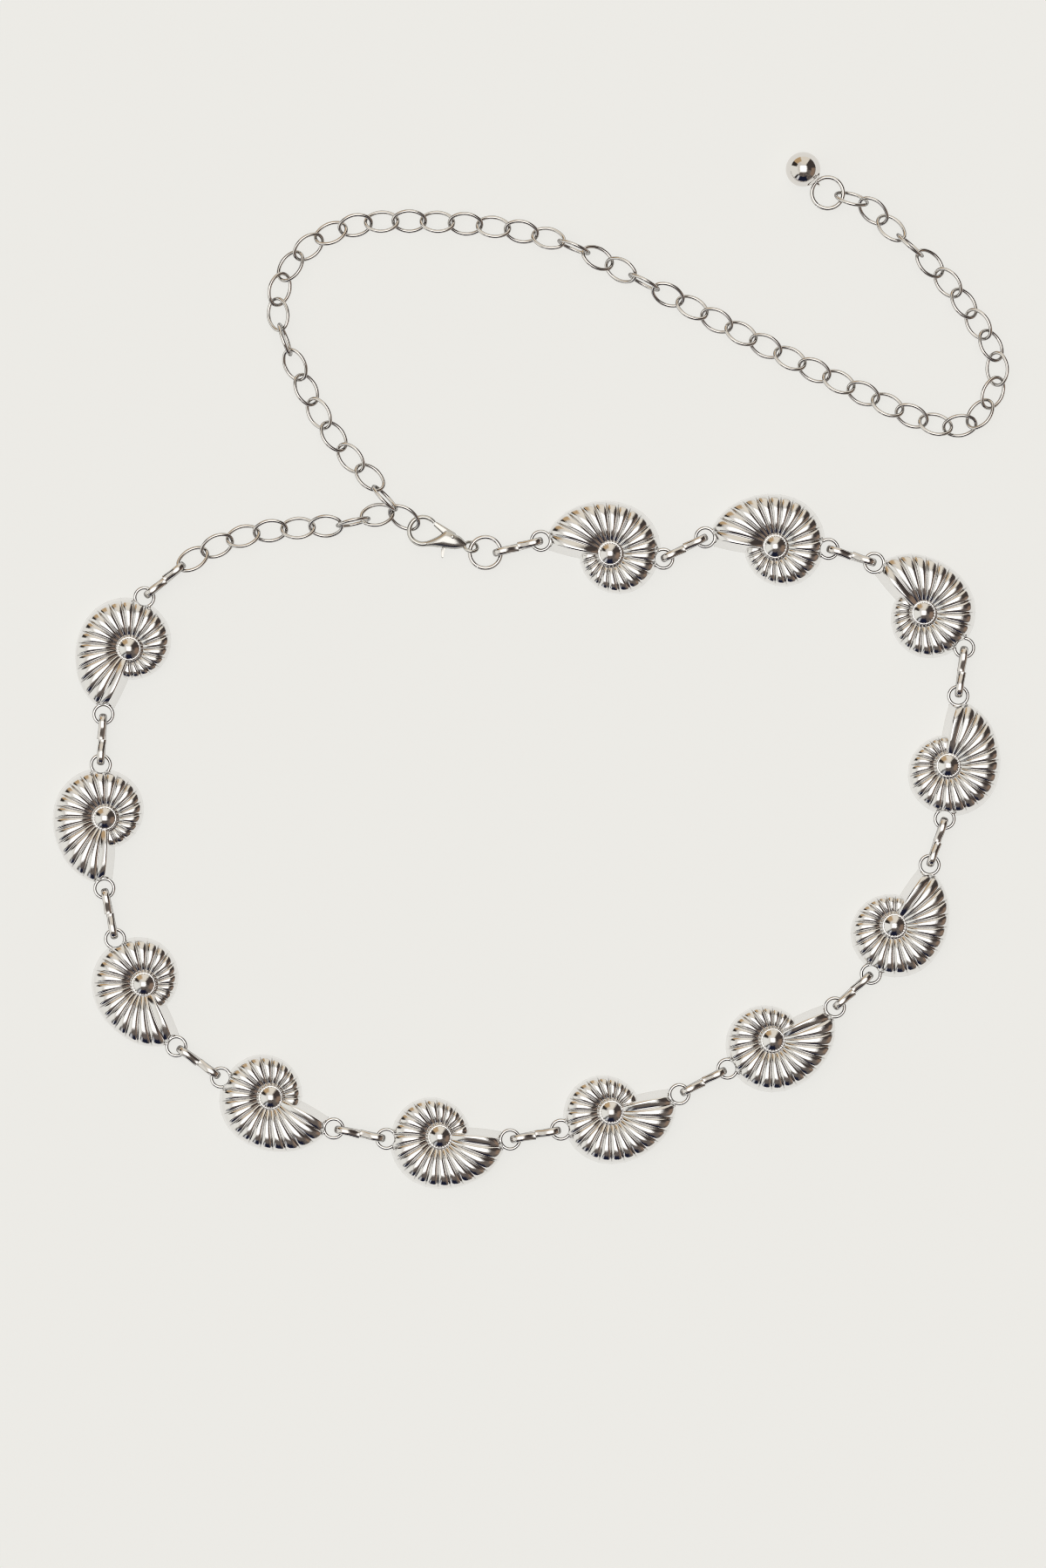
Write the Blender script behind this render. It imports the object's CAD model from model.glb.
"""Looks of the waist chain: cast shells, strip links, cable chain, clasp and ball in polished silver."""

import math

import bmesh
import bpy
from mathutils import Matrix, Vector


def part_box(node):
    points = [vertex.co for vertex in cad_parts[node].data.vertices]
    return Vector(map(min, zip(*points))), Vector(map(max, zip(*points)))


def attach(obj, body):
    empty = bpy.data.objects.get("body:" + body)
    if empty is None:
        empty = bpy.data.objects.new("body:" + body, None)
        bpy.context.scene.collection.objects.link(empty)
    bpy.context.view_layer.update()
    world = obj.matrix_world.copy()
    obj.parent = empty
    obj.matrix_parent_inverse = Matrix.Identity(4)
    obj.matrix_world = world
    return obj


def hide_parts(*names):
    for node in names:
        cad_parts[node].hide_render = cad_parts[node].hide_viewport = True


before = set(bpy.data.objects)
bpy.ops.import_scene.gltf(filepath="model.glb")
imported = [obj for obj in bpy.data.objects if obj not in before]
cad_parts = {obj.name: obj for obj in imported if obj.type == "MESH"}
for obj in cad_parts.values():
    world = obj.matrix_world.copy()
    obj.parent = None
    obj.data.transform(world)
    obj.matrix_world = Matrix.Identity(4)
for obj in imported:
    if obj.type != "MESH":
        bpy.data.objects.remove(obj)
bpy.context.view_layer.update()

MM = 0.001

# Shell sizes in millimetres, the same as in the part's source
SHELL_REACH = 18.9
MOUTH_H = 6.8
SMALL_END_H = 4.4
RIB_COUNT = 21
GROOVE_DEPTH = 0.8
MOUTH_FACE_W = 2.4
DOME_R = 3.25
EYELET_D = 6.4
EYELET_WIRE = 0.96
REAR_SINK = 1.8
FRONT_SINK = 0.15
# Where the two eyelets stand on a shell, seen from its dome
FRONT_EYE_ANGLE = 14.5
REAR_EYE_ANGLE = 199.5

# Strip links, cable links, rings and ball
CONNECTOR_LEN = 15.0
CONNECTOR_H = 5.5
STRIP_W = 2.2
STRIP_T = 1.0
LINK_LEN = 10.3
LINK_W = 7.4
WIRE_D = 1.0
TAIL_LINKS = 50
TAIL_SLACK = 0.7
LINK_ROLL = 28
RING_D = 10.1
RING_WIRE = 1.15
RING_CUT = 0.2
BALL_D = 10.0
BAIL_R = 1.2
BAIL_WIRE = 0.7

# Clasp
CLASP_REACH = 14.5
HOOK_R = 3.95
# How far the hook's middle lies off the clasp's long axis, as a share of its radius
HOOK_ASIDE = -0.15
HOOK_WIRE = 1.3
CLASP_T = 4.0
CLASP_EYE_R = 1.9
CLASP_EYE_WIRE = 1.0
LEVER_T = 1.5
GATE_W = 1.5
PIN_D = 1.0
LEVER_GAP = 0.1
BOSS_WALL = 0.6

# A row for each shell: its heading, the heading of the strip link behind it, and that link's slack
BELT_LAY = [
    (155, 27, -1.5),
    (158, 343, -1.3),
    (120, 263, -1.1),
    (67, 252, -1.1),
    (45, 223, -0.9),
    (13, 208, 0.6),
    (0, 191, -0.2),
    (343, 169, 0.4),
    (319, 145, 0.6),
    (283, 102, -0.2),
    (255, 87, -0.5),
    (234, 40, 0.4),
]
# The clasp end: headings of the pieces, and how far one piece reaches past or lies slack on the next
FIRST_LINK_HEADING = 15
FIRST_LINK_PAST = 0.7
JUMP_RING_HEADING = 4
CLASP_SIDE = 158
CLASP_HEADING = 164
HELD_ANGLE = -19
HELD_SLACK = 0.9

# Steps of the short chain's curve
SHORT_STEPS = 120
# Its route, a row for each point: share of the curve, shares of the way along and aside
SHORT_ROUTE = [
    (0, 0, 0),
    (0.2, 0.195, 0.055),
    (0.4, 0.395, 0.06),
    (0.6, 0.597, 0.025),
    (0.8, 0.8, -0.01),
    (1, 1, 0),
]
# Route of the tail, a row for each point: number of links, and its place in link pitches
TAIL_ROUTE = [
    (0, 0, 0), (1, -0.5, 0.9), (2, -1.27, 1.57), (4, -2.55, 3.2), (6, -3.5, 5), (8, -4.25, 6.9),
    (9, -4.42, 7.85), (10, -4.15, 8.8), (11, -3.6, 9.6), (12, -2.8, 10.25), (14, -0.95, 10.85),
    (18, 3.25, 10.75), (21, 6.35, 10.1), (25, 9.9, 8.35), (30, 14.5, 5.95), (35, 19.1, 3.75),
    (36, 20, 3.35), (37, 20.9, 3.12), (38, 21.83, 3.25), (39, 22.42, 4), (40, 22.8, 4.85),
    (41, 22.75, 5.8), (43, 21.8, 7.4), (45, 20.6, 8.95), (47, 19.1, 10.3), (48, 18.45, 10.95),
    (49, 17.75, 11.6), (50, 16.8, 11.85),
]
# Links that stand on edge: number, roll
SHORT_TURNED = {7: 80}
TAIL_TURNED = {8: 80, 22: 80, 25: 80, 47: 80, 50: 60}

# Play between metal and metal, and heights, as the pieces lie
REST_GAP = 0.12
RING_LIFT = 0.42
RING_PLAY = 0.3
LINK_PLAY = 0.85
FLOOR_GAP = 0.05
STRIP_LIFT = 2.9
SHORT_MIN_SLACK = 0.2
# Where two links meet, from 0 at the lower one's height to 1 at the higher one's
JOINT_SHARE = 0.85
# Slope and roll of the link in the hook
HELD_TILT = (-9, 32)
# The two links that hang in it: place in link lengths, lift, heading from it, slope and roll
LAST_SHORT = (-0.657, -0.365, 0.4, 48, -5, -23)
FIRST_TAIL = (-0.749, 0.136, 0.2, 169, 0, 75)
END_RING_SLACK = 1.0
BALL_TURN = -28
BAIL_TILT = -30
BAIL_LET_IN = 0.2

# Spiral outline of a shell: angle, share of its reach
SPIRAL = [
    (42.5, 0.483), (60, 0.496), (75, 0.519), (90, 0.546), (120, 0.615), (150, 0.685), (180, 0.734),
    (215, 0.787), (250, 0.807), (290, 0.81), (320, 0.856), (340, 0.926), (355, 0.975), (367, 1),
    (373.75, 0.93),
]
# Angles of the first and the last groove and of the lip
FIRST_GROOVE = 42.5
LAST_GROOVE = 368.25
LIP_ANGLE = 373.75
# How much smaller the angles of the ribs grow towards the mouth
RIB_TAPER = 0.155
# How far back towards the small end the inner end of a groove lies, in degrees
LEAN_FIRST = 2.5
LEAN_LAST = 5
LEAN_LIP = -7
# How far a groove cuts into the rim, and where the ribs start under the dome
RIM_NOTCH = 0.25
RELIEF_START_R = 0.8 * DOME_R


# Plane vectors, angles in degrees


def dir2(angle):
    """The unit vector at that angle."""
    return Vector((math.cos(math.radians(angle)), math.sin(math.radians(angle))))


def turn2(p, angle):
    """The vector turned by that angle."""
    c = math.cos(math.radians(angle))
    s = math.sin(math.radians(angle))
    return Vector((p[0] * c - p[1] * s, p[0] * s + p[1] * c))


def smooth_lookup(rows, x):
    """A smooth curve through rows of (x, y), straight on before the first and level after the last."""
    last = len(rows) - 1
    if x <= rows[0][0]:
        slope = (rows[1][1] - rows[0][1]) / (rows[1][0] - rows[0][0])
        return rows[0][1] + slope * (x - rows[0][0])
    i = 0
    while i < last - 1 and rows[i + 1][0] < x:
        i += 1

    def speed(k):
        a = rows[max(k - 1, 0)]
        b = rows[min(k + 1, last)]
        return (b[1] - a[1]) / (b[0] - a[0])

    a = rows[i]
    b = rows[i + 1]
    step = b[0] - a[0]
    t = min((x - a[0]) / step, 1)
    return (
        (1 + 2 * t) * (1 - t) ** 2 * a[1]
        + t * (1 - t) ** 2 * step * speed(i)
        + t * t * (3 - 2 * t) * b[1]
        - t * t * (1 - t) * step * speed(i + 1)
    )


def straight_lookup(rows, x):
    """Straight lines through rows of (x, y), between the two ends."""
    i = 0
    while i < len(rows) - 2 and rows[i + 1][0] < x:
        i += 1
    a = rows[i]
    b = rows[i + 1]
    return a[1] + (b[1] - a[1]) * (x - a[0]) / (b[0] - a[0])


def route_point(route, n):
    """A point of the smooth curve through rows of (number, x, y)."""
    return Vector([smooth_lookup([(row[0], row[k]) for row in route], n) for k in (1, 2)])


def ease(t):
    """From 0 to 1, slow at both ends."""
    t = min(max(t, 0.0), 1.0)
    return t * t * (3 - 2 * t)


# Where everything lies, worked out as in the part's source

EYELET_MEAN_R = (EYELET_D - EYELET_WIRE) / 2
EYELET_Z = STRIP_T + REST_GAP + EYELET_WIRE / 2
RING_MEAN_R = (RING_D - RING_WIRE) / 2
RING_Z = STRIP_T + REST_GAP + RING_LIFT + RING_WIRE / 2
CLASP_Z = CLASP_T / 2
LINK_A = (LINK_LEN - WIRE_D) / 2
LINK_B = (LINK_W - WIRE_D) / 2
TIGHT_PITCH = LINK_LEN - 2 * WIRE_D
TAIL_PITCH = TIGHT_PITCH - TAIL_SLACK


def outline_r(angle):
    """Distance of a shell's outline from the middle of its dome."""
    return SHELL_REACH * smooth_lookup(SPIRAL, angle)


front_r = SPIRAL[-1][1] * SHELL_REACH
FRONT_EYE = (front_r + EYELET_MEAN_R - FRONT_SINK) * dir2(FRONT_EYE_ANGLE)
rear_r = straight_lookup(SPIRAL, REAR_EYE_ANGLE) * SHELL_REACH
REAR_EYE = (rear_r + EYELET_MEAN_R - REAR_SINK) * dir2(REAR_EYE_ANGLE)

fronts = []
rears = []
domes = []
place = Vector((0, 0))
for heading, link_heading, slack in BELT_LAY:
    fronts.append(place)
    rears.append(place + turn2(REAR_EYE - FRONT_EYE, heading))
    domes.append(place - turn2(FRONT_EYE, heading))
    place = rears[-1] + (CONNECTOR_LEN + slack) * dir2(link_heading)


def connector_heading(i):
    """Heading of strip link i, where 0 is the one at the jump ring."""
    return FIRST_LINK_HEADING if i == 0 else BELT_LAY[i - 1][1]


def connector_middle(i):
    """Middle of strip link i."""
    if i == 0:
        return fronts[0] + (FIRST_LINK_PAST - CONNECTOR_LEN / 2) * dir2(FIRST_LINK_HEADING)
    return rears[i - 1] + (CONNECTOR_LEN + BELT_LAY[i - 1][2]) / 2 * dir2(connector_heading(i))


RING_IN_STRIP = STRIP_T + RING_PLAY + RING_WIRE
ring_catch = connector_middle(0) - (CONNECTOR_LEN / 2 - RING_IN_STRIP) * dir2(FIRST_LINK_HEADING)
jump_middle = ring_catch - RING_MEAN_R * dir2(JUMP_RING_HEADING)
clasp_eye = jump_middle + RING_MEAN_R * dir2(CLASP_SIDE)
HOOK_MIDDLE = Vector((CLASP_REACH, HOOK_ASIDE * HOOK_R))
held_inset = LINK_LEN / 2 - WIRE_D - HOOK_WIRE / 2 - HELD_SLACK
held_middle = clasp_eye + turn2(HOOK_MIDDLE + (HOOK_R + held_inset) * dir2(HELD_ANGLE), CLASP_HEADING)
held_heading = CLASP_HEADING + HELD_ANGLE + 180
junction = held_middle - TAIL_PITCH / 2 * dir2(held_heading)

last_link = len(BELT_LAY)
connector_end = connector_middle(last_link) + CONNECTOR_LEN / 2 * dir2(connector_heading(last_link))
link_in_strip = STRIP_T + LINK_PLAY + WIRE_D
short_in = link_in_strip - (LINK_LEN - TAIL_PITCH) / 2
short_start = connector_end - short_in * dir2(connector_heading(last_link))
short_way = junction - short_start
short_curve = []
for j in range(SHORT_STEPS + 1):
    p = route_point(SHORT_ROUTE, j / SHORT_STEPS)
    short_curve.append(short_start + p[0] * short_way + p[1] * Vector((-short_way[1], short_way[0])))
short_lengths = [0.0]
for a, b in zip(short_curve, short_curve[1:]):
    short_lengths.append(short_lengths[-1] + (b - a).length)
short_links = math.ceil(short_lengths[-1] / (TIGHT_PITCH - SHORT_MIN_SLACK))


def along_short(length):
    """The point of the short chain's curve at that length from its start."""
    j = 0
    while j < len(short_curve) - 2 and short_lengths[j + 1] < length:
        j += 1
    t = (length - short_lengths[j]) / (short_lengths[j + 1] - short_lengths[j])
    return short_curve[j].lerp(short_curve[j + 1], t)


short_joints = [along_short(k * short_lengths[-1] / short_links) for k in range(short_links + 1)]
tail_joints = [junction + TAIL_PITCH * route_point(TAIL_ROUTE, k) for k in range(TAIL_LINKS + 1)]


def link_rolls(count, turned):
    """Rolls of the links: to one side and the other by turns, but for those in turned."""
    return [turned.get(k, LINK_ROLL if k % 2 == 0 else -LINK_ROLL) for k in range(1, count + 1)]


def resting_z(slope, roll):
    """Height of a link's middle when its lowest point is just over the floor."""
    s = math.radians(slope)
    r = math.radians(roll)
    across = math.hypot(math.sin(s), math.sin(r) * math.cos(s))
    return FLOOR_GAP + WIRE_D / 2 + (LINK_A - LINK_B) * abs(math.sin(s)) + LINK_B * across


def lying_links(joints, rolls, z_before, z_after):
    """Poses (x, y, z, heading, slope, roll) of links between those joints."""
    flat = [z_before] + [resting_z(0, r) for r in rolls] + [z_after]

    def joint_z(a, b):
        return min(a, b) + JOINT_SHARE * abs(a - b)

    poses = []
    for k, roll in enumerate(rolls):
        low = joint_z(flat[k], flat[k + 1])
        high = joint_z(flat[k + 1], flat[k + 2])
        way = joints[k + 1] - joints[k]
        slope = math.degrees(math.asin((high - low) / way.length))
        middle = (joints[k] + joints[k + 1]) / 2
        z = max((low + high) / 2, resting_z(slope, roll))
        heading = math.degrees(math.atan2(way[1], way[0]))
        poses.append((middle[0], middle[1], z, heading, slope, roll))
    return poses


def beside_held(p):
    """Pose of a link that hangs in the held one, from its row."""
    middle = held_middle + LINK_LEN * turn2(p[:2], held_heading)
    return (middle[0], middle[1], resting_z(p[4], p[5]) + p[2], held_heading + p[3], p[4], p[5])


short_poses = lying_links(short_joints, link_rolls(short_links, SHORT_TURNED), STRIP_LIFT, CLASP_Z)
short_poses[-1] = beside_held(LAST_SHORT)
held_pose = (held_middle[0], held_middle[1], resting_z(*HELD_TILT), held_heading, *HELD_TILT)
short_poses.append(held_pose)
tail_poses = lying_links(tail_joints, link_rolls(TAIL_LINKS, TAIL_TURNED), CLASP_Z, RING_Z)
tail_poses[0] = beside_held(FIRST_TAIL)

end_link = tail_poses[-1]
end_ring_heading = end_link[3]
end_catch = LINK_LEN / 2 - WIRE_D - RING_WIRE / 2 - END_RING_SLACK
end_ring_middle = Vector(end_link[:2]) + (end_catch + RING_MEAN_R) * dir2(end_ring_heading)
ball_heading = end_ring_heading + BALL_TURN
bail_out = BALL_D / 2 + BAIL_R - BAIL_LET_IN
ball_reach = RING_MEAN_R + bail_out * math.cos(math.radians(BAIL_TILT))
ball_middle = end_ring_middle + ball_reach * dir2(ball_heading)

# The part's origin is the middle of its footprint. The jump ring, which is round, shows where that is.
ring_low, ring_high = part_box("jump_ring")
shift = Vector((ring_low + ring_high)[:2]) / 2 / MM - jump_middle


def spot(p, z=0.0, heading=0.0):
    """The matrix that puts a piece drawn in millimetres at p, turned to that heading."""
    move = Matrix.Translation((Vector((p[0], p[1], z)) + Vector((*shift, 0))) * MM)
    return move @ Matrix.Rotation(math.radians(heading), 4, "Z") @ Matrix.Scale(MM, 4)


# Mesh helpers


class Shape:
    """Points and faces in millimetres, with how deep in a groove each point lies, from 0 to 1."""

    def __init__(self):
        self.points = []
        self.faces = []
        self.depth = []

    def add(self, points, faces, matrix=None, depth=None):
        first = len(self.points)
        matrix = matrix or Matrix.Identity(4)
        self.points += [matrix @ Vector(p) for p in points]
        self.faces += [[first + k for k in face] for face in faces]
        self.depth += depth or [0.0] * len(points)

    def mesh(self, name, material, sharp=50, dull_sides=0.0):
        """The shape as a mesh in millimetres. Its sides and undersides can be duller than its top."""
        mesh = bpy.data.meshes.new(name)
        mesh.from_pydata([tuple(p) for p in self.points], [], self.faces)
        outward_normals(mesh)
        layer = mesh.color_attributes.new("cavity", "FLOAT_COLOR", "POINT")
        for vertex, value in zip(mesh.vertices, self.depth):
            value = max(value, dull_sides * turned_away(vertex.normal.z, 0.8))
            layer.data[vertex.index].color = (value, value, value, 1)
        for face in mesh.polygons:
            face.use_smooth = True
        mesh.set_sharp_from_angle(angle=math.radians(sharp))
        mesh.materials.append(material)
        return mesh


def turned_away(up, least):
    """How far a surface is turned from lying flat: 0 where its normal points up by least, then up to 1."""
    return ease((least - up) / 0.45)


def outward_normals(mesh):
    """Turns the faces so that their normals point out of each closed body."""
    form = bmesh.new()
    form.from_mesh(mesh)
    bmesh.ops.recalc_face_normals(form, faces=form.faces)
    form.to_mesh(mesh)
    form.free()


def grid_faces(rows, columns, closed_rows=False, closed_columns=False):
    """Faces of a grid of points numbered row by row."""
    faces = []
    for r in range(rows if closed_rows else rows - 1):
        for c in range(columns if closed_columns else columns - 1):
            a = r * columns + c
            b = r * columns + (c + 1) % columns
            d = (r + 1) % rows * columns + c
            e = (r + 1) % rows * columns + (c + 1) % columns
            faces.append([a, d, e, b])
    return faces


def sweep(path, section, closed=True, scales=None):
    """Points and faces of a section swept along path points (point, outward, up). Section: (out, up)."""
    points = []
    for k, (p, outward, up) in enumerate(path):
        s = scales[k] if scales else 1
        points += [p + s * u * outward + s * v * up for u, v in section]
    count = len(section)
    faces = grid_faces(len(path), count, closed, True)
    if not closed:
        faces.append(list(range(count)))
        faces.append([(len(path) - 1) * count + k for k in range(count)][::-1])
    return points, faces


def circle(radius, sides):
    """Points of a circle round (0, 0)."""
    return [
        (radius * math.cos(2 * math.pi * k / sides), radius * math.sin(2 * math.pi * k / sides))
        for k in range(sides)
    ]


def arc_path(mean_r, start, end, steps, middle=(0, 0)):
    """Path points of an arc in the plane of the table, from start to end in degrees."""
    path = []
    for k in range(steps + 1):
        out = dir2(start + (end - start) * k / steps)
        point = Vector((middle[0] + mean_r * out[0], middle[1] + mean_r * out[1], 0))
        path.append((point, Vector((out[0], out[1], 0)), Vector((0, 0, 1))))
    return path


def torus(mean_r, wire, steps, sides):
    """Points and faces of a closed ring of round wire that lies flat."""
    return sweep(arc_path(mean_r, 0, 360 * (1 - 1 / steps), steps - 1), circle(wire / 2, sides))


# Materials


def noise(tree, where, scale, detail):
    """The value of a noise in that node tree."""
    node = tree.nodes.new("ShaderNodeTexNoise")
    node.inputs["Scale"].default_value = scale
    node.inputs["Detail"].default_value = detail
    tree.links.new(where, node.inputs["Vector"])
    return node.outputs["Fac"]


def silver(name, tint, roughness, grain, bump, detail):
    """Polished silver: mirror metal with a mottled tint, duller hollows, rub marks and a cast skin."""
    material = bpy.data.materials.new(name)
    material.use_nodes = True
    tree = material.node_tree
    nodes = tree.nodes
    links = tree.links
    shader = nodes["Principled BSDF"]
    shader.inputs["Metallic"].default_value = 1.0
    where = nodes.new("ShaderNodeTexCoord").outputs["Object"]

    # Mottled tint
    colour = nodes.new("ShaderNodeMix")
    colour.data_type = "RGBA"
    colour.inputs["A"].default_value = (*[c * 0.95 for c in tint], 1)
    colour.inputs["B"].default_value = (*[min(c * 1.03, 1) for c in tint], 1)
    links.new(noise(tree, where, 260, 5), colour.inputs["Factor"])

    # Duller hollows, as the mesh says where
    cavity = nodes.new("ShaderNodeVertexColor")
    cavity.layer_name = "cavity"
    dull = nodes.new("ShaderNodeMix")
    dull.data_type = "RGBA"
    dull.inputs["B"].default_value = (*[c * 0.4 for c in tint], 1)
    links.new(cavity.outputs["Color"], dull.inputs["Factor"])
    links.new(colour.outputs["Result"], dull.inputs["A"])
    links.new(dull.outputs["Result"], shader.inputs["Base Color"])

    # Rub marks, longer than wide, that change the roughness
    stretch = nodes.new("ShaderNodeMapping")
    stretch.inputs["Scale"].default_value = (1, 5, 1)
    links.new(where, stretch.inputs["Vector"])
    rough = nodes.new("ShaderNodeMapRange")
    rough.inputs["From Min"].default_value = 0.3
    rough.inputs["From Max"].default_value = 0.75
    rough.inputs["To Min"].default_value = roughness * 0.7
    rough.inputs["To Max"].default_value = roughness * 1.6
    links.new(noise(tree, stretch.outputs["Vector"], 900, 3), rough.inputs["Value"])
    links.new(rough.outputs["Result"], shader.inputs["Roughness"])

    # Cast skin
    raised = nodes.new("ShaderNodeBump")
    raised.inputs["Strength"].default_value = bump
    raised.inputs["Distance"].default_value = 0.0001
    links.new(noise(tree, where, grain, detail), raised.inputs["Height"])
    links.new(raised.outputs["Normal"], shader.inputs["Normal"])
    return material


# Tint, roughness, and the scale, strength and detail of the skin's bump
cast_silver = silver("cast_silver", (0.86, 0.85, 0.84), 0.04, 1100, 0.09, 1)
strip_silver = silver("strip_silver", (0.80, 0.775, 0.75), 0.06, 1500, 0.08, 1)
wire_silver = silver("wire_silver", (0.79, 0.765, 0.74), 0.05, 1500, 0.06, 1)
clasp_silver = silver("clasp_silver", (0.72, 0.705, 0.67), 0.2, 1600, 0.05, 1)
ball_silver = silver("ball_silver", (0.81, 0.785, 0.76), 0.025, 500, 0.04, 0)


def add_piece(name, mesh, matrix, body, nodes):
    """A shown piece that stands for CAD nodes and moves with a body."""
    piece = bpy.data.objects.new(name, mesh)
    bpy.context.scene.collection.objects.link(piece)
    piece.matrix_world = matrix
    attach(piece, body)
    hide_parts(*nodes)
    return piece


# How much duller the sides of wires and of the satin clasp are than their tops, from 0 to 1
SIDE_DULL = 1.0
CLASP_DULL = 0.7

# Shell

# Columns of points across a rib
RIB_STEPS = 14
# Ribs that run on past the first groove, under the last whorl
HIDDEN_RIBS = 3
# Sections from the dome to the top of the rim: share of the way, share of the height, share of the groove
RELIEF = [
    (0, 0.6, 0.05), (0.05, 0.67, 0.12), (0.1, 0.74, 0.24), (0.17, 0.83, 0.45), (0.25, 0.915, 0.72),
    (0.33, 0.96, 0.9), (0.42, 0.985, 1), (0.5, 1, 1.03), (0.58, 1.008, 1.05), (0.66, 1.002, 1.05),
    (0.74, 0.98, 1.05), (0.81, 0.94, 1.05), (0.87, 0.89, 1.03), (0.92, 0.825, 1), (0.96, 0.75, 0.95),
    (0.985, 0.68, 0.91), (1, 0.62, 0.9),
]
# How far inside the outline the ribs end, by angle, and how far the foot of the rim stands
RIB_END_IN = [(42.5, 0.5), (120, 0.5), (170, 0.75), (230, 1.0), (270, 0.8), (320, 0.6), (374, 0.5)]
FOOT_IN = 0.2
# Steps down the rim: share of its width, share of its height that is left
RIM = [(0.15, 0.84), (0.4, 0.6), (0.7, 0.3), (0.9, 0.09), (1, 0)]
# Steps down the mouth face: share of its width, share of the height that is left
MOUTH_FACE = [
    (0.09, 0.988), (0.18, 0.955), (0.27, 0.89), (0.4, 0.73), (0.6, 0.46), (0.8, 0.22), (0.95, 0.04), (1, 0),
]
# How much duller the grooves are than the ribs: over their whole length, and more near the dome
GROOVE_DULL = 0.3
INNER_DULL = 0.1
# How far the ribs' ends stand out between the grooves
NUB = 0.16
# Turn of the mouth face's direction from that of the lip
MOUTH_TURN = 87
# How far outside an eyelet's bore the rim stands
BORE_CLEAR = 0.12
# Dome: radius of curvature on top, where the cap ends, and the height of the dome's own foot
CAP_R = 3.25
CAP_EDGE_R = 3.0
CAP_FOOT_Z = 0.4 * SMALL_END_H + 1.2
# Narrow collar round the cap: radius, height from the cap's edge. Its foot: radius, height
COLLAR = [(3.03, -0.06), (3.07, -0.09), (3.2, -0.08), (3.34, -0.1), (3.41, -0.17), (3.44, -0.35)]
COLLAR_FOOT = (3.46, 1.5)


def spiral_share(angle):
    """How far along the spiral an angle is, from 0 at the first groove to 1 at the last."""
    return (angle - FIRST_GROOVE) / (LAST_GROOVE - FIRST_GROOVE)


def rib_height(angle):
    """Height of the crest of a rib, which grows towards the mouth."""
    return SMALL_END_H + (MOUTH_H - SMALL_END_H) * max(spiral_share(angle), 0) ** 0.8


def groove_angle(k):
    """Angle of groove k. The steps between grooves grow smaller towards the mouth."""
    u = k / RIB_COUNT
    return FIRST_GROOVE + (LAST_GROOVE - FIRST_GROOVE) * (u * (1 + RIB_TAPER) - RIB_TAPER * u * u)


def arch(v):
    """How much of a groove there is at v, from 0 on the crest of a rib to 1 in the groove."""
    full = 0.97
    round_back = (1 - math.sqrt(1 - (full * v) ** 2)) / (1 - math.sqrt(1 - full * full))
    return 0.45 * round_back + 0.55 * v**4


def shell_column(angle, v, lean):
    """Points of one column of the relief, with the depth in the groove of each."""
    groove = arch(v)
    out = outline_r(angle)
    end_in = smooth_lookup(RIB_END_IN, min(max(angle, RIB_END_IN[0][0]), RIB_END_IN[-1][0]))
    top_r = out - end_in
    points = []
    depth = []
    for share, height, deep in RELIEF:
        r = RELIEF_START_R + share * (top_r - RELIEF_START_R) - RIM_NOTCH * groove * ease((share - 0.8) / 0.2)
        z = rib_height(angle) * height - GROOVE_DEPTH * groove * deep
        inward = 1 - (r - RELIEF_START_R) / (out - RELIEF_START_R)
        points.append((*(r * dir2(angle - lean * inward)), z))
        depth.append(ease((groove - 0.45) / 0.55) * (GROOVE_DULL + INNER_DULL * (1 - share)))
    rim_z = rib_height(angle) * RELIEF[-1][1] - GROOVE_DEPTH * groove * RELIEF[-1][2]
    nub = NUB * ease((v - 0.86) / 0.14)
    for share, left in RIM:
        r = top_r + share * (end_in - FOOT_IN) - RIM_NOTCH * groove * (1 - share)
        r += nub * math.sin(math.pi * share * 0.75)
        inward = 1 - (r - RELIEF_START_R) / (out - RELIEF_START_R)
        points.append((*(r * dir2(angle - lean * inward)), rim_z * left))
        depth.append(0.0)
    return points, depth


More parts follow.
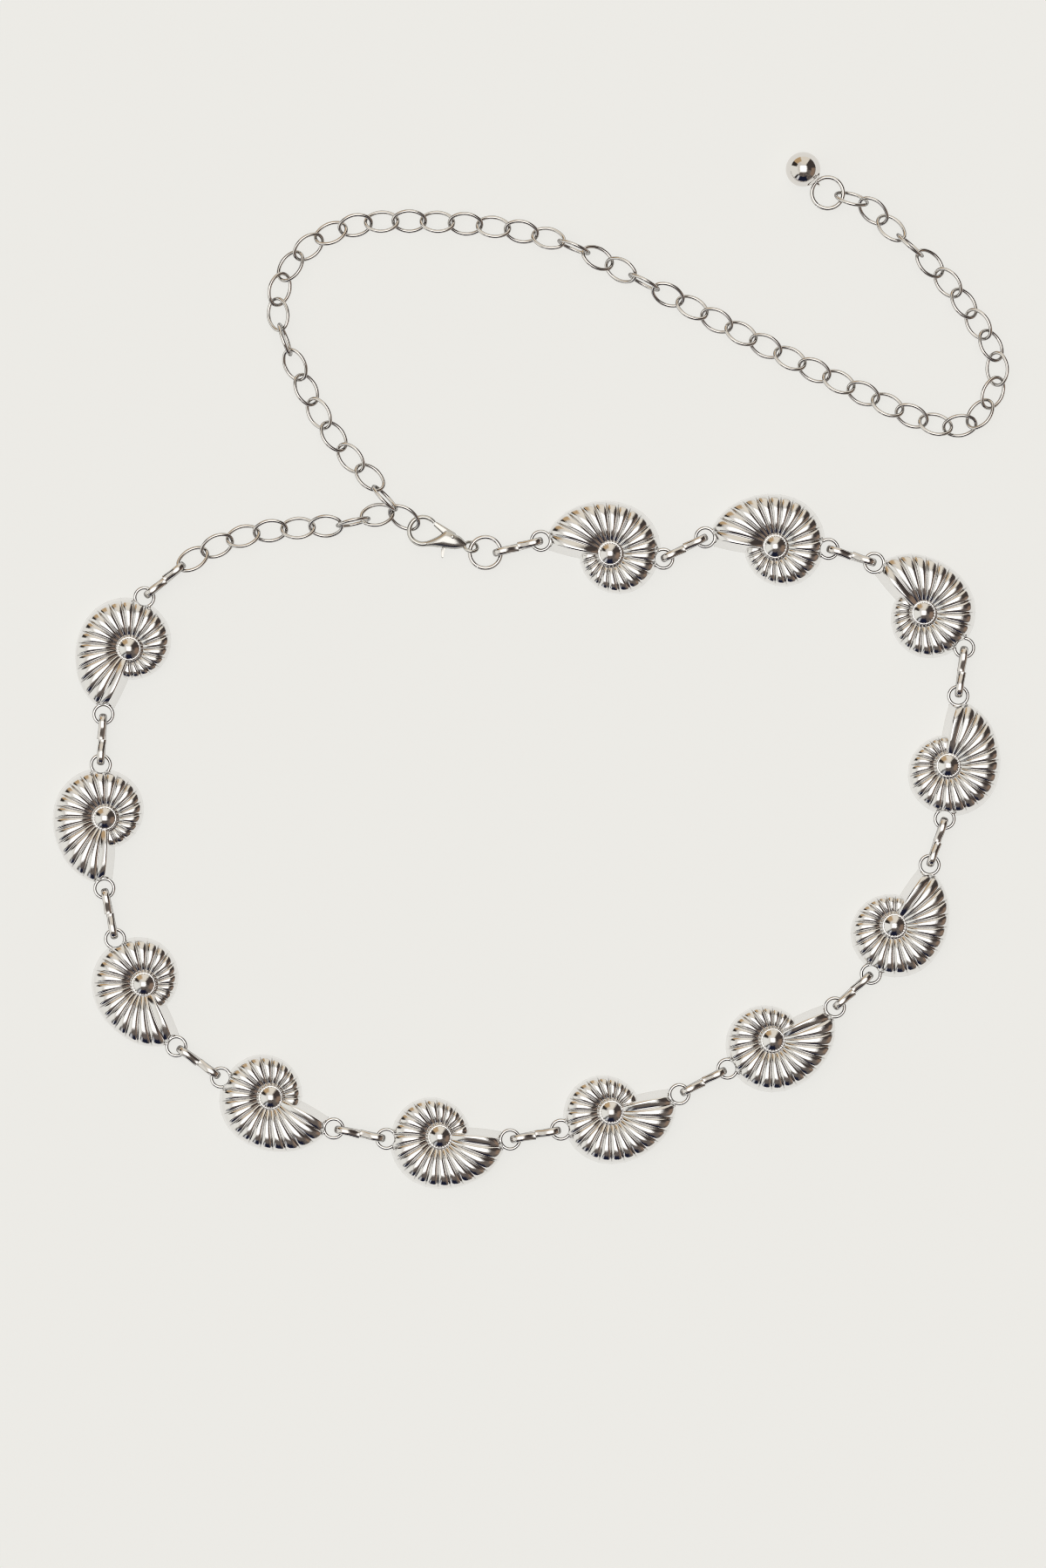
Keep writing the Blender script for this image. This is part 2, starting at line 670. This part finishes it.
def shell_shape():
    """A shell: its ribs and mouth face, its dome and its two eyelets."""
    shape = Shape()
    columns = []
    for k in range(-HIDDEN_RIBS, RIB_COUNT):
        a = groove_angle(k)
        b = groove_angle(k + 1)
        for j in range(RIB_STEPS):
            u = (1 - math.cos(math.pi * j / RIB_STEPS)) / 2
            angle = a + u * (b - a)
            lean = LEAN_FIRST + (LEAN_LAST - LEAN_FIRST) * max(spiral_share(angle), 0)
            columns.append(shell_column(angle, abs(2 * u - 1), lean))
    lip_steps = 5
    for j in range(lip_steps + 1):
        u = j / lip_steps
        angle = LAST_GROOVE + u * (LIP_ANGLE - LAST_GROOVE)
        lean = LEAN_LAST + u * (LEAN_LIP - LEAN_LAST)
        columns.append(shell_column(angle, (1 - u) + 0.45 * u, lean))
    normal = dir2(LIP_ANGLE - LEAN_LIP / 2 + MOUTH_TURN)
    lip = columns[-1][0]
    for across, left in MOUTH_FACE:
        column = [
            (p[0] + across * MOUTH_FACE_W * normal[0], p[1] + across * MOUTH_FACE_W * normal[1], p[2] * left)
            for p in lip
        ]
        columns.append((column, [0.0] * len(column)))
    rings = len(lip)
    points = [p for column, _ in columns for p in column]
    depth = [d for _, deep in columns for d in deep]
    faces = grid_faces(len(columns), rings)
    first = len(points)
    points.append((0, 0, 0))
    depth.append(0.0)
    for c in range(len(columns) - 1):
        faces.append([first, (c + 1) * rings + rings - 1, c * rings + rings - 1])
    # The strip links pass through the eyelets' bores, so the rim stands back from them
    bore = EYELET_MEAN_R - EYELET_WIRE / 2 + BORE_CLEAR
    pushed = []
    for x, y, z in points:
        for eye in (FRONT_EYE, REAR_EYE):
            away = Vector((x, y)) - eye
            if away.length < bore:
                x, y = eye + bore * away.normalized()
        pushed.append((x, y, z))
    shape.add(pushed, faces, depth=depth)

    # Dome: a polished cap on a narrow flat collar
    cap_top = CAP_FOOT_Z + DOME_R
    cap_steps = 14
    cap_radii = [CAP_EDGE_R * k / cap_steps for k in range(cap_steps + 1)]
    profile = [(r, cap_top - r * r / (2 * CAP_R)) for r in cap_radii]
    edge_z = profile[-1][1]
    profile += [(r, edge_z + rise) for r, rise in COLLAR] + [COLLAR_FOOT]
    sides = 48
    ring_points = [(x, y, z) for r, z in profile for x, y in circle(r, sides)]
    shape.add(ring_points, grid_faces(len(profile), sides, False, True))

    # Eyelets
    points, faces = torus(EYELET_MEAN_R, EYELET_WIRE, 56, 16)
    sides = [SIDE_DULL * turned_away(2 * p[2] / EYELET_WIRE, 0.95) for p in points]
    for eye in (FRONT_EYE, REAR_EYE):
        shape.add(points, faces, Matrix.Translation((eye[0], eye[1], EYELET_Z)), sides)
    return shape


shell_mesh = shell_shape().mesh("shell_cast", cast_silver, 58)
for i, (heading, _, _) in enumerate(BELT_LAY):
    name = f"shell_{i + 1:02d}"
    add_piece(f"cast_{name}", shell_mesh, spot(domes[i], 0, heading), "belt", [name])


# Strip link: a strip on edge, bent round to a butt seam on top

# Half the width of the seam
SEAM = 0.08
# The two ends stand a little out of line with each other where they meet: how far, and over what length
SEAM_ASIDE = 0.24
ASIDE_LEN = 3.6
# They dip towards the seam by this much, and lie level for this share of half the top
SEAM_DIP = 0.95
SEAM_FLAT = 0.12


def strip_shape():
    """A strip link round its own middle, its long way along x."""
    shape = Shape()
    bend_r = (CONNECTOR_H - STRIP_T) / 2
    half = (CONNECTOR_LEN - CONNECTOR_H) / 2

    def bend(x, start):
        """Half a turn round one end of the link, between its two straight sides."""
        turned = []
        for k in range(1, 16):
            angle = start - 180 * k / 16
            out = dir2(angle)
            turned.append((x + bend_r * out[0], bend_r * out[1], angle))
        return turned

    # Centre line in the plane x-z, from the seam round to the seam: (x, z, outward angle)
    line = [(SEAM + (half - SEAM) * k / 12, bend_r, 90) for k in range(13)]
    line += bend(half, 90)
    line += [(half - 2 * half * k / 16, -bend_r, -90) for k in range(17)]
    line += bend(-half, 270)
    line += [(-half + (half - SEAM) * k / 12, bend_r, 90) for k in range(13)]
    path = []
    for x, z, angle in line:
        aside = 0.0
        if z > bend_r - 0.01:
            near = max(1 - abs(x) / half - SEAM_FLAT, 0) / (1 - SEAM_FLAT)
            aside = math.copysign(SEAM_ASIDE * ease(1 - abs(x) / ASIDE_LEN), x)
            z -= SEAM_DIP * ease(near)
            slope = SEAM_DIP / half * 6 * near * (1 - near)
            angle += math.copysign(math.degrees(math.atan(slope)), x)
        out = dir2(angle)
        path.append((Vector((x, aside, z)), Vector((out[0], 0, out[1])), Vector((0, 1, 0))))
    # Half of the section, crowned outside and hollow inside
    w = STRIP_W / 2
    t = STRIP_T / 2
    section = [
        (t, 0), (t - 0.01, 0.2 * w), (t - 0.04, 0.4 * w), (t - 0.11, 0.6 * w), (t - 0.24, 0.78 * w),
        (t - 0.4, 0.91 * w), (t - 0.56, 0.98 * w), (-0.12, w), (0.2 - t, 0.97 * w), (0.03 - t, 0.82 * w),
        (-t, 0),
    ]
    section = section + [(u, -v) for u, v in section[-2:0:-1]]
    shape.add(*sweep(path, section, closed=False))
    return shape


strip_mesh = strip_shape().mesh("strip_link", strip_silver, 40, SIDE_DULL)
for i in range(len(BELT_LAY) + 1):
    name = f"connector_{i:02d}"
    where = spot(connector_middle(i), CONNECTOR_H / 2, connector_heading(i))
    add_piece(f"strip_{name}", strip_mesh, where, "belt", [name])


# Cable links: four-arc ovals of round wire

# Radius of a link's ends as a share of half its width
LINK_END_SHARE = 0.76
# Steps along an end and along a side
LINK_END_STEPS = 18
LINK_SIDE_STEPS = 12
# How much thicker the wire is at its joint, in the middle of one side, and over how many steps
JOINT_SWELL = 0.07
JOINT_STEPS = 1.6


def link_shape():
    """Points and faces of a cable link that lies flat, its long way along x."""
    end_r = LINK_END_SHARE * LINK_B
    run = LINK_A - end_r
    rise = LINK_B - end_r
    drop = (run * run - rise * rise) / (2 * rise)
    side_r = LINK_B + drop
    half_end = 90 - math.degrees(math.atan2(run, drop))
    # Each row is an arc: middle, radius, first angle, last angle, steps
    arcs = [
        ((run, 0), end_r, -half_end, half_end, LINK_END_STEPS),
        ((0, -drop), side_r, half_end, 180 - half_end, LINK_SIDE_STEPS),
        ((-run, 0), end_r, 180 - half_end, 180 + half_end, LINK_END_STEPS),
        ((0, drop), side_r, 180 + half_end, 360 - half_end, LINK_SIDE_STEPS),
    ]
    path = []
    for middle, radius, start, end, steps in arcs:
        path += arc_path(radius, start, end, steps, middle)[:-1]
    joint = LINK_END_STEPS + LINK_SIDE_STEPS / 2
    scales = [1 + JOINT_SWELL * ease(1 - abs(k - joint) / JOINT_STEPS) for k in range(len(path))]
    return sweep(path, circle(WIRE_D / 2, 14), True, scales)


LINK_POINTS, LINK_FACES = link_shape()


def link_matrix(pose, turned):
    """Place of a link in millimetres. Turned links have their wire's joint on the other side."""
    x, y, z, heading, slope, roll = pose
    return (
        Matrix.Translation((x, y, z))
        @ Matrix.Rotation(math.radians(heading), 4, "Z")
        @ Matrix.Rotation(math.radians(-slope), 4, "Y")
        @ Matrix.Rotation(math.radians(roll), 4, "X")
        @ Matrix.Rotation(math.radians(180 * turned), 4, "Z")
    )


def chain_shape(poses):
    """All links of a chain, every other one turned round."""
    shape = Shape()
    for k, pose in enumerate(poses):
        shape.add(LINK_POINTS, LINK_FACES, link_matrix(pose, k % 2))
    return shape


short_mesh = chain_shape(short_poses).mesh("short_links", wire_silver, 60, SIDE_DULL)
add_piece("cable_short", short_mesh, spot((0, 0)), "belt", ["short_chain"])
tail_mesh = chain_shape(tail_poses).mesh("tail_links", wire_silver, 60, SIDE_DULL)
add_piece("cable_tail", tail_mesh, spot((0, 0)), "belt", ["tail_chain"])


# Rings and ball

# Where the rings are cut, in degrees
JUMP_CUT_ANGLE = 241
END_CUT_ANGLE = 230


def split_ring_shape(cut_angle):
    """A round ring that lies flat, cut through at that angle."""
    shape = Shape()
    half_cut = math.degrees(RING_CUT / 2 / RING_MEAN_R)
    path = arc_path(RING_MEAN_R, cut_angle + half_cut, cut_angle + 360 - half_cut, 72)
    shape.add(*sweep(path, circle(RING_WIRE / 2, 18), closed=False))
    return shape


jump_mesh = split_ring_shape(JUMP_CUT_ANGLE).mesh("split_ring_a", wire_silver, 50, SIDE_DULL)
add_piece("split_ring_front", jump_mesh, spot(jump_middle, RING_Z), "belt", ["jump_ring"])
end_mesh = split_ring_shape(END_CUT_ANGLE).mesh("split_ring_b", wire_silver, 50, SIDE_DULL)
add_piece("split_ring_end", end_mesh, spot(end_ring_middle, RING_Z), "belt", ["end_ring"])


def ball_shape():
    """The ball and, towards the end ring, its bail."""
    shape = Shape()
    turns = 64
    rows = 32
    points = []
    for r in range(1, rows):
        down = math.pi * r / rows
        z = BALL_D / 2 * math.cos(down)
        points += [(x, y, z) for x, y in circle(BALL_D / 2 * math.sin(down), turns)]
    faces = grid_faces(rows - 1, turns, False, True)
    top = len(points)
    points += [(0, 0, BALL_D / 2), (0, 0, -BALL_D / 2)]
    for c in range(turns):
        faces.append([top, c, (c + 1) % turns])
        faces.append([top + 1, (rows - 2) * turns + (c + 1) % turns, (rows - 2) * turns + c])
    shape.add(points, faces)
    bail = (
        Matrix.Rotation(math.radians(180), 4, "Z")
        @ Matrix.Rotation(math.radians(-BAIL_TILT), 4, "Y")
        @ Matrix.Translation((bail_out, 0, 0))
        @ Matrix.Rotation(math.radians(90), 4, "X")
    )
    shape.add(*torus(BAIL_R, BAIL_WIRE, 32, 12), bail)
    return shape


ball_mesh = ball_shape().mesh("ball_and_bail", ball_silver, 60)
ball_spot = spot(ball_middle, BALL_D / 2, ball_heading)
add_piece("ball_and_bail", ball_mesh, ball_spot, "belt", ["end_ball"])


# Clasp

HOOK_OUT = HOOK_R + HOOK_WIRE / 2
# Share of the way from the eye to the hook's middle, gate side, spine side, share of the thickness
CLASP_SECTIONS = [
    (0.13, -0.2, 0.18, 0.5), (0.22, -0.37, 0.33, 0.75), (0.32, -0.48, 0.46, 0.92), (0.45, -0.58, 0.54, 1),
    (0.55, -0.6, 0.57, 1), (0.6, -0.42, 0.59, 0.98), (0.7, -0.04, 0.63, 0.86), (0.82, 0.3, 0.72, 0.62),
    (0.95, 0.57, 0.86, 0.33),
]
# Angles round the hook's middle where its arm starts and where it runs into the spine
HOOK_TIP_ANGLE = -129
HOOK_SPINE_ANGLE = 122
HOOK_TIP = HOOK_MIDDLE + HOOK_R * dir2(HOOK_TIP_ANGLE)
# The hinge, as shares of the reach and of the hook's outer radius
HINGE = Vector((0.4 * CLASP_REACH, -0.28 * HOOK_OUT))
GATE_WAY = HOOK_TIP - HINGE
GATE_ANGLE = math.degrees(math.atan2(GATE_WAY[1], GATE_WAY[0]))
LEVER_BOSS_R = PIN_D / 2 + LEVER_GAP + BOSS_WALL
# Shares of the reach where the cheeks start and end
CHEEK_START = 0.1
CHEEK_END = 0.96
CHEEK_STEPS = 36
# Radius of the neck where it leaves the eye, and the share of the reach where it runs into the cheeks
NECK_R = 0.42
NECK_END = 0.2
# Head of the rivet: radius, height over the cheek
RIVET_HEAD = [(0.01, 0.2), (0.25, 0.18), (0.45, 0.11), (0.55, 0.0)]
# The gate: how far it ends from the hook's tip, and its width at the hinge and at its end, in gate widths
GATE_SHORT = 0.32
GATE_ROOT = 1.8
GATE_TIP = 0.95


def clasp_section(share):
    """Gate side, spine side and half thickness of the body at that share of the way, in millimetres."""
    gate, spine, thick = (
        smooth_lookup([(row[0], row[k]) for row in CLASP_SECTIONS], share) for k in (1, 2, 3)
    )
    return gate * HOOK_OUT, spine * HOOK_OUT, thick * CLASP_T / 2


def rounded(half_w, half_t, power, sides):
    """Section between an ellipse and a box: (across, up)."""

    def fuller(x):
        return math.copysign(abs(x) ** (2 / power), x)

    return [(half_w * fuller(x), half_t * fuller(y)) for x, y in circle(1, sides)]


def loft(rings):
    """Points and faces through rings of equal counts, closed at both ends."""
    count = len(rings[0])
    faces = grid_faces(len(rings), count, False, True)
    faces.append(list(range(count)))
    faces.append([(len(rings) - 1) * count + k for k in range(count)][::-1])
    return [p for ring in rings for p in ring], faces


def cheeks_shape():
    """The clasp's swelling body before its slot is cut."""
    shape = Shape()
    rings = []
    for k in range(CHEEK_STEPS + 1):
        share = CHEEK_START + (CHEEK_END - CHEEK_START) * k / CHEEK_STEPS
        gate, spine, half_t = clasp_section(share)
        middle = (gate + spine) / 2
        ring = rounded((spine - gate) / 2, half_t, 2.3, 28)
        rings.append([(share * CLASP_REACH, middle + u, v) for u, v in ring])
    shape.add(*loft(rings))
    return shape


def slot_shape():
    """The slot between the cheeks, where the lever turns."""
    half = LEVER_T / 2 + LEVER_GAP
    back = HINGE[0] - LEVER_BOSS_R - 2 * LEVER_GAP
    front = 0.615 * CLASP_REACH
    gate = 0.73 * CLASP_REACH
    step = 0.04 * HOOK_OUT
    far = 2 * HOOK_OUT
    plan = [(back, -far), (gate, -far), (gate, step), (front, step), (front, far), (back, far)]
    shape = Shape()
    shape.add(*loft([[(x, y, -half) for x, y in plan], [(x, y, half) for x, y in plan]]))
    return shape


def cut(mesh, tool, name):
    """The mesh without what the tool's mesh holds."""
    pair = []
    for part in (mesh, tool):
        for_cut = bpy.data.objects.new("for_cut", part)
        bpy.context.scene.collection.objects.link(for_cut)
        pair.append(for_cut)
    step = pair[0].modifiers.new("cut", "BOOLEAN")
    step.operation = "DIFFERENCE"
    step.solver = "EXACT"
    step.object = pair[1]
    made = pair[0].evaluated_get(bpy.context.evaluated_depsgraph_get())
    result = bpy.data.meshes.new_from_object(made)
    result.name = name
    for part in pair:
        bpy.data.objects.remove(part)
    return result


def clasp_shape():
    """Hook, eye and rivet of the clasp; its cheeks are cut apart from them."""
    shape = Shape()
    # Hook: a round arm that grows a little wider and much deeper towards the spine
    steps = 44
    rings = []
    for k in range(steps + 1):
        share = k / steps
        angle = HOOK_TIP_ANGLE + share * (HOOK_SPINE_ANGLE - HOOK_TIP_ANGLE)
        grow = ease((share - 0.45) / 0.55)
        tip = 0.82 + 0.18 * ease(share / 0.1)
        half_w = HOOK_WIRE / 2 * tip * (1 + 0.22 * grow)
        half_t = HOOK_WIRE / 2 * tip * (1.12 + 0.75 * grow)
        out = dir2(angle)
        middle = HOOK_MIDDLE + (HOOK_R - (half_w - HOOK_WIRE / 2)) * out
        ring = rounded(half_w, half_t, 2.2, 16)
        rings.append([(middle[0] + u * out[0], middle[1] + u * out[1], v) for u, v in ring])
    shape.add(*loft(rings))
    shape.add(*torus(CLASP_EYE_R, CLASP_EYE_WIRE, 40, 14), Matrix.Rotation(math.radians(45), 4, "X"))
    # Neck between the eye and the cheeks
    rings = []
    start = CLASP_EYE_R - CLASP_EYE_WIRE / 4
    for k in range(7):
        share = k / 6
        x = start + share * (NECK_END * CLASP_REACH - start)
        gate, spine, half_t = clasp_section(max(x / CLASP_REACH, CLASP_SECTIONS[0][0]))
        half_w = NECK_R + share * ((spine - gate) / 2 - NECK_R)
        ring = rounded(half_w, NECK_R + share * (half_t - NECK_R), 2, 16)
        rings.append([(x, share * (gate + spine) / 2 + u, v) for u, v in ring])
    shape.add(*loft(rings))
    # Rivet, flush in both cheeks but for a low round head
    top = clasp_section(HINGE[0] / CLASP_REACH)[2] * 0.97
    rings = []
    for side in (1, -1):
        for r, lift in RIVET_HEAD[::side]:
            z = side * (top + lift)
            rings.append([(HINGE[0] + u, HINGE[1] + v, z) for u, v in circle(r, 16)])
    shape.add(*loft(rings))
    return shape


def smooth_outline(rows, steps):
    """Points of a closed smooth curve through the rows."""
    points = []
    count = len(rows)
    for i in range(count):
        p = [Vector(rows[(i + k) % count]) for k in (-1, 0, 1, 2)]
        for j in range(steps):
            t = j / steps
            points.append(
                p[1]
                + 0.5 * t * (p[2] - p[0])
                + t * t * (p[0] - 2.5 * p[1] + 2 * p[2] - 0.5 * p[3])
                + t**3 * (-0.5 * p[0] + 1.5 * p[1] - 1.5 * p[2] + 0.5 * p[3])
            )
    return points


# Outline of the thumb tab from the hinge, in shares of the hook's outer radius
THUMB_TAB = [
    (-0.13, 0.2), (0.05, 0.62), (0.24, 0.95), (0.2, 1.38), (0.32, 1.42), (0.45, 1.0), (0.42, 0.6), (0.2, 0.1),
]


def lever_shape():
    """Sprung gate with its boss and thumb tab, drawn from the hinge."""
    shape = Shape()
    gate_len = GATE_WAY.length
    way = dir2(GATE_ANGLE)
    side = Vector((-way[1], way[0]))
    steps = 14
    rings = []
    for k in range(steps + 1):
        share = k / steps
        along = (gate_len - GATE_SHORT) * share
        half_w = GATE_W / 2 * (GATE_ROOT + (GATE_TIP - GATE_ROOT) * share)
        half_t = (LEVER_T - 0.1) / 2 * (1 - 0.12 * ease(share))
        middle = along * way
        ring = rounded(half_w, half_t, 3, 20)
        rings.append([(middle[0] + u * side[0], middle[1] + u * side[1], v) for u, v in ring])
    shape.add(*loft(rings))
    # Thumb tab, with rounded edges
    edge = 0.16
    half = LEVER_T / 2 - 0.04
    plan = smooth_outline([(HOOK_OUT * x, HOOK_OUT * y) for x, y in THUMB_TAB], 5)
    centre = sum(plan, Vector((0, 0))) / len(plan)
    rings = []
    rounding = [(-half, edge), (0.08 - half, 0.06), (edge - half, 0)]
    rounding += [(-z, inset) for z, inset in rounding[::-1]]
    for z, inset in rounding:
        ring = []
        for p in plan:
            away = p - centre
            q = p - inset * away.normalized()
            ring.append((q[0], q[1], z))
        rings.append(ring)
    shape.add(*loft(rings))
    # Boss, with bevelled edges
    bevel = 0.12
    boss = [(LEVER_BOSS_R - bevel, -LEVER_T / 2), (LEVER_BOSS_R, bevel - LEVER_T / 2)]
    boss += [(LEVER_BOSS_R, LEVER_T / 2 - bevel), (LEVER_BOSS_R - bevel, LEVER_T / 2)]
    shape.add(*loft([[(u, v, z) for u, v in circle(r, 28)] for r, z in boss]))
    return shape


# Angle in degrees above which an edge of the cheeks is drawn sharp
CHEEK_SHARP = 35
cheeks = cheeks_shape().mesh("cheeks_whole", clasp_silver, CHEEK_SHARP, CLASP_DULL)
slot = slot_shape().mesh("slot", clasp_silver, CHEEK_SHARP)
cheeks = cut(cheeks, slot, "clasp_cheeks")
cheeks.set_sharp_from_angle(angle=math.radians(CHEEK_SHARP))
clasp_spot = spot(clasp_eye, CLASP_Z, CLASP_HEADING)
add_piece("clasp_cheeks", cheeks, clasp_spot, "belt", ["clasp_body"])
hook_mesh = clasp_shape().mesh("clasp_hook", clasp_silver, 40, CLASP_DULL)
add_piece("clasp_hook_and_eye", hook_mesh, clasp_spot, "belt", ["clasp_body"])
lever_mesh = lever_shape().mesh("lever", clasp_silver, 40, CLASP_DULL)
lever_place = clasp_eye + turn2(HINGE, CLASP_HEADING)
lever_spot = spot(lever_place, CLASP_Z, CLASP_HEADING)
add_piece("clasp_gate", lever_mesh, lever_spot, "lever", ["clasp_lever"])


# Studio

# Colour of the pale ground, in linear light
GROUND = (0.838, 0.831, 0.799)
# How much of it the floor gives by reflecting light, and how strongly it glows
FLOOR_SHARE = 0.22
FLOOR_GLOW = 0.875


def make_floor():
    """A wide pale floor that mostly glows evenly, so that only faint shadows show on it."""
    size = 3.0
    mesh = bpy.data.meshes.new("floor")
    corners = [(-size, -size, 0), (size, -size, 0), (size, size, 0), (-size, size, 0)]
    mesh.from_pydata(corners, [], [(0, 1, 2, 3)])
    material = bpy.data.materials.new("pale_floor")
    material.use_nodes = True
    nodes = material.node_tree.nodes
    links = material.node_tree.links
    shader = nodes["Principled BSDF"]
    shader.inputs["Base Color"].default_value = (*[FLOOR_SHARE * c for c in GROUND], 1)
    shader.inputs["Roughness"].default_value = 0.9
    shader.inputs["Specular IOR Level"].default_value = 0.0
    shader.inputs["Emission Color"].default_value = (*GROUND, 1)
    shader.inputs["Emission Strength"].default_value = FLOOR_GLOW
    mesh.materials.append(material)
    floor = bpy.data.objects.new("floor", mesh)
    bpy.context.scene.collection.objects.link(floor)


# What the metal mirrors round the table. A row for each panel of the room: azimuth, half its width,
# lowest and highest elevation, softness, all in degrees, and its colour in linear light.
PANELS = [
    (140, 88, 34, 76, 8, (0.70, 0.67, 0.62)),
    (82, 30, -5, 60, 5, (0.82, 0.76, 0.66)),
    (190, 32, -5, 52, 5, (0.86, 0.85, 0.80)),
    (120, 18, -5, 38, 3, (0.52, 0.36, 0.2)),
    (150, 11, -5, 42, 3, (0.035, 0.028, 0.024)),
    (22, 34, -5, 61, 5, (0.06, 0.048, 0.043)),
    (345, 22, 4, 34, 7, (0.27, 0.19, 0.14)),
    (228, 7, 5, 38, 3, (0.04, 0.036, 0.036)),
    (238, 5, 2, 36, 3, (0.75, 0.76, 0.78)),
    (268, 24, -5, 36, 4, (0.012, 0.014, 0.032)),
]
# The rest of the room, between these two colours
WALL = (0.19, 0.16, 0.14)
WALL_DARK = (0.075, 0.062, 0.056)
# Brightness of the square softbox overhead, half its width and its soft edge at a height of 1
SOFTBOX = 1.5
SOFTBOX_HALF = 0.4
SOFTBOX_EDGE = 0.06
# Colour round the softbox and how much of it shows
GLOW = (0.62, 0.60, 0.57)
GLOW_SHARE = 0.42


def make_world():
    """The room that the metal mirrors. Seen directly, it has the colour of the ground."""
    world = bpy.data.worlds.new("studio")
    world.use_nodes = True
    bpy.context.scene.world = world
    nodes = world.node_tree.nodes
    links = world.node_tree.links
    nodes.clear()

    def value(node, socket, number):
        """Sets a socket to a number or a colour, or links another node's output to it."""
        if isinstance(number, (int, float)):
            node.inputs[socket].default_value = number
        elif isinstance(number, tuple):
            node.inputs[socket].default_value = (*number, 1)
        else:
            links.new(number, node.inputs[socket])

    def maths(kind, a, b=0.0):
        node = nodes.new("ShaderNodeMath")
        node.operation = kind
        value(node, 0, a)
        value(node, 1, b)
        return node.outputs[0]

    def step(x, low, high):
        """0 below low, 1 above high, smooth between."""
        node = nodes.new("ShaderNodeMapRange")
        node.interpolation_type = "SMOOTHSTEP"
        value(node, "Value", x)
        value(node, "From Min", low)
        value(node, "From Max", high)
        return node.outputs["Result"]

    def over(under, mask, colour):
        """The colour laid over another where the mask is 1."""
        node = nodes.new("ShaderNodeMix")
        node.data_type = "RGBA"
        links.new(mask, node.inputs["Factor"])
        value(node, "A", under)
        value(node, "B", colour)
        return node.outputs["Result"]

    where = nodes.new("ShaderNodeTexCoord").outputs["Generated"]
    split = nodes.new("ShaderNodeSeparateXYZ")
    links.new(where, split.inputs[0])
    x, y, z = split.outputs
    square = maths("ADD", maths("MULTIPLY", x, x), maths("MULTIPLY", y, y))
    flat = maths("MAXIMUM", maths("SQRT", square), 1e-4)
    elevation = maths("MULTIPLY", maths("ARCSINE", z), 180 / math.pi)

    clutter = noise(world.node_tree, where, 6, 5)
    colour = over(WALL, step(clutter, 0.4, 0.64), WALL_DARK)

    for azimuth, half, low, high, soft, tone in PANELS:
        a = math.radians(azimuth)
        along = maths("ADD", maths("MULTIPLY", x, math.cos(a)), maths("MULTIPLY", y, math.sin(a)))
        turned = maths("DIVIDE", along, flat)
        outer = math.cos(math.radians(half + soft / 2))
        inner = math.cos(math.radians(half - soft / 2))
        inside = step(turned, outer, inner)
        above = step(elevation, low - soft / 2, low + soft / 2)
        below = maths("SUBTRACT", 1.0, step(elevation, high - soft / 2, high + soft / 2))
        colour = over(colour, maths("MULTIPLY", inside, maths("MULTIPLY", above, below)), tone)

    # Round the softbox everything is a little brighter and greyer
    colour = over(colour, maths("MULTIPLY", step(elevation, 56, 70), GLOW_SHARE), GLOW)
    near = maths("MAXIMUM", z, 1e-4)
    side = maths("ABSOLUTE", maths("DIVIDE", x, near))
    fore = maths("ABSOLUTE", maths("DIVIDE", y, near))
    outer = SOFTBOX_HALF + SOFTBOX_EDGE
    inner = SOFTBOX_HALF - SOFTBOX_EDGE
    lit = maths("MULTIPLY", step(side, outer, inner), step(fore, outer, inner))
    lit = maths("MULTIPLY", lit, step(z, 0.0, 0.1))
    colour = over(colour, lit, (SOFTBOX, SOFTBOX * 0.985, SOFTBOX * 0.96))
    # Below the level of the table
    colour = over(colour, maths("SUBTRACT", 1.0, step(z, -0.01, 0.0)), tuple(0.95 * c for c in GROUND))

    room = nodes.new("ShaderNodeBackground")
    links.new(colour, room.inputs["Color"])
    plain = nodes.new("ShaderNodeBackground")
    plain.inputs["Color"].default_value = (*GROUND, 1)
    ray = nodes.new("ShaderNodeLightPath")
    mix = nodes.new("ShaderNodeMixShader")
    links.new(ray.outputs["Is Camera Ray"], mix.inputs["Fac"])
    links.new(room.outputs[0], mix.inputs[1])
    links.new(plain.outputs[0], mix.inputs[2])
    out = nodes.new("ShaderNodeOutputWorld")
    links.new(mix.outputs[0], out.inputs["Surface"])


# Camera straight above, where the photograph's frame is 300 mm wide and 449.75 mm high

# Height of the frame and of the camera in metres, and the middle of the frame in millimetres
FRAME_H = 0.44975
FRAME_MIDDLE = Vector((-5.13, -69.7))
CAMERA_UP = 2.6
SENSOR = 36


def make_camera():
    """The camera, which looks straight down."""
    data = bpy.data.cameras.new("camera")
    data.sensor_width = SENSOR
    data.lens = SENSOR * CAMERA_UP / FRAME_H
    data.clip_end = 20
    camera = bpy.data.objects.new("camera", data)
    bpy.context.scene.collection.objects.link(camera)
    x, y = (FRAME_MIDDLE + shift) * MM
    camera.location = (x, y, CAMERA_UP)
    bpy.context.scene.camera = camera


make_floor()
make_world()
make_camera()
bpy.context.scene.view_settings.view_transform = "Standard"
bpy.context.scene.cycles.filter_width = 1.0
